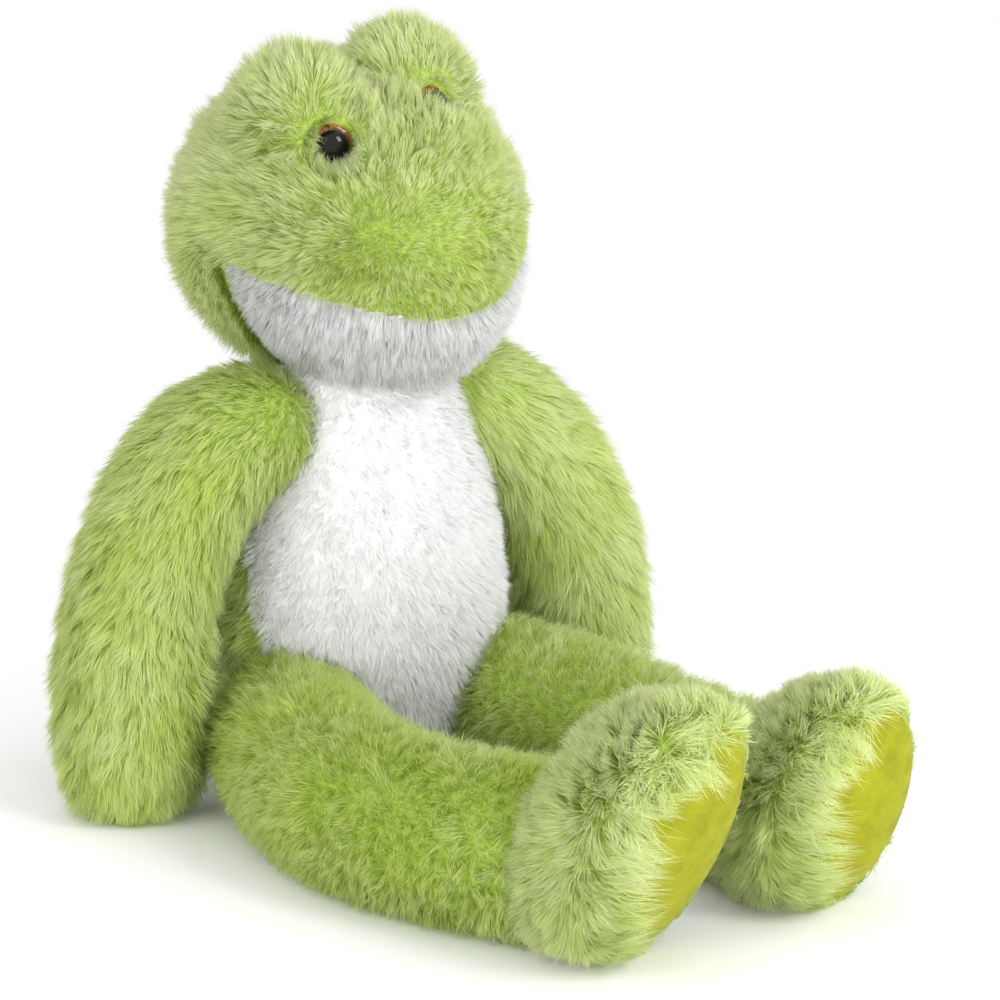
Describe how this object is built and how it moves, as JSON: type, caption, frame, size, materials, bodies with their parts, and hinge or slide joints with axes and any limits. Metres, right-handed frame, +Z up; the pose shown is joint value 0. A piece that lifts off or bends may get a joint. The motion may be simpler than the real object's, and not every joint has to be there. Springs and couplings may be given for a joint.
{
  "type": "plush frog",
  "caption": "Seated plush frog in long green fur with a white belly and chin, button eyes, suede soles, a turning head and swinging limbs.",
  "frame": {"origin": "on the floor under the seat, on the middle line and forward of the torso's middle, in the flat that the torso rests on", "axes": "+Z up, -Y the way that the frog faces and its legs point, +X towards the frog's own left"},
  "size_m": [0.232, 0.3073, 0.2595],
  "materials": {
    "green_fur": "long pile",
    "leg_green_fur": "long pile",
    "white_fur": "short pile",
    "sole_suede": "brushed suede cloth",
    "fibrefill": "loose fibre",
    "black_gloss": "polished",
    "amber_gloss": "polished",
    "white_plastic": "moulded"
  },
  "bodies": {
    "torso": {"torso_back": "green_fur", "belly_panel": "white_fur", "torso_stuffing": "fibrefill"},
    "head": {"head_skin": "green_fur", "chin_panel": "white_fur", "head_stuffing": "fibrefill", "eye_button_left": "black_gloss", "eye_button_right": "black_gloss", "eye_iris_left": "amber_gloss", "eye_iris_right": "amber_gloss", "eye_washer_left": "white_plastic", "eye_washer_right": "white_plastic"},
    "arm_left": {"arm_skin_left": "green_fur", "arm_stuffing_left": "fibrefill"},
    "arm_right": {"arm_skin_right": "green_fur", "arm_stuffing_right": "fibrefill"},
    "leg_left": {"leg_skin_left": "leg_green_fur", "leg_stuffing_left": "fibrefill", "foot_skin_left": "leg_green_fur", "foot_stuffing_left": "fibrefill", "sole_left": "sole_suede"},
    "leg_right": {"leg_skin_right": "leg_green_fur", "leg_stuffing_right": "fibrefill", "foot_skin_right": "leg_green_fur", "foot_stuffing_right": "fibrefill", "sole_right": "sole_suede"}
  },
  "joints": [
    {"name": "head_turn", "type": "hinge", "parent": "torso", "child": "head", "pos_m": [0, 0.0104, 0.1495], "axis": [0, 0, 1], "range_deg": [-30, 30]},
    {"name": "shoulder_left", "type": "hinge", "parent": "torso", "child": "arm_left", "pos_m": [0.046, 0.006, 0.129], "axis": [-0.5, -0.866, 0], "range_deg": [0, 75]},
    {"name": "shoulder_right", "type": "hinge", "parent": "torso", "child": "arm_right", "pos_m": [-0.046, 0.006, 0.129], "axis": [-0.5, 0.866, 0], "range_deg": [0, 75]},
    {"name": "hip_left", "type": "hinge", "parent": "torso", "child": "leg_left", "pos_m": [0.042, -0.007, 0.0255], "axis": [1, 0, 0], "range_deg": [-15, 90]},
    {"name": "hip_right", "type": "hinge", "parent": "torso", "child": "leg_right", "pos_m": [-0.042, -0.007, 0.0255], "axis": [1, 0, 0], "range_deg": [-15, 90]}
  ]
}
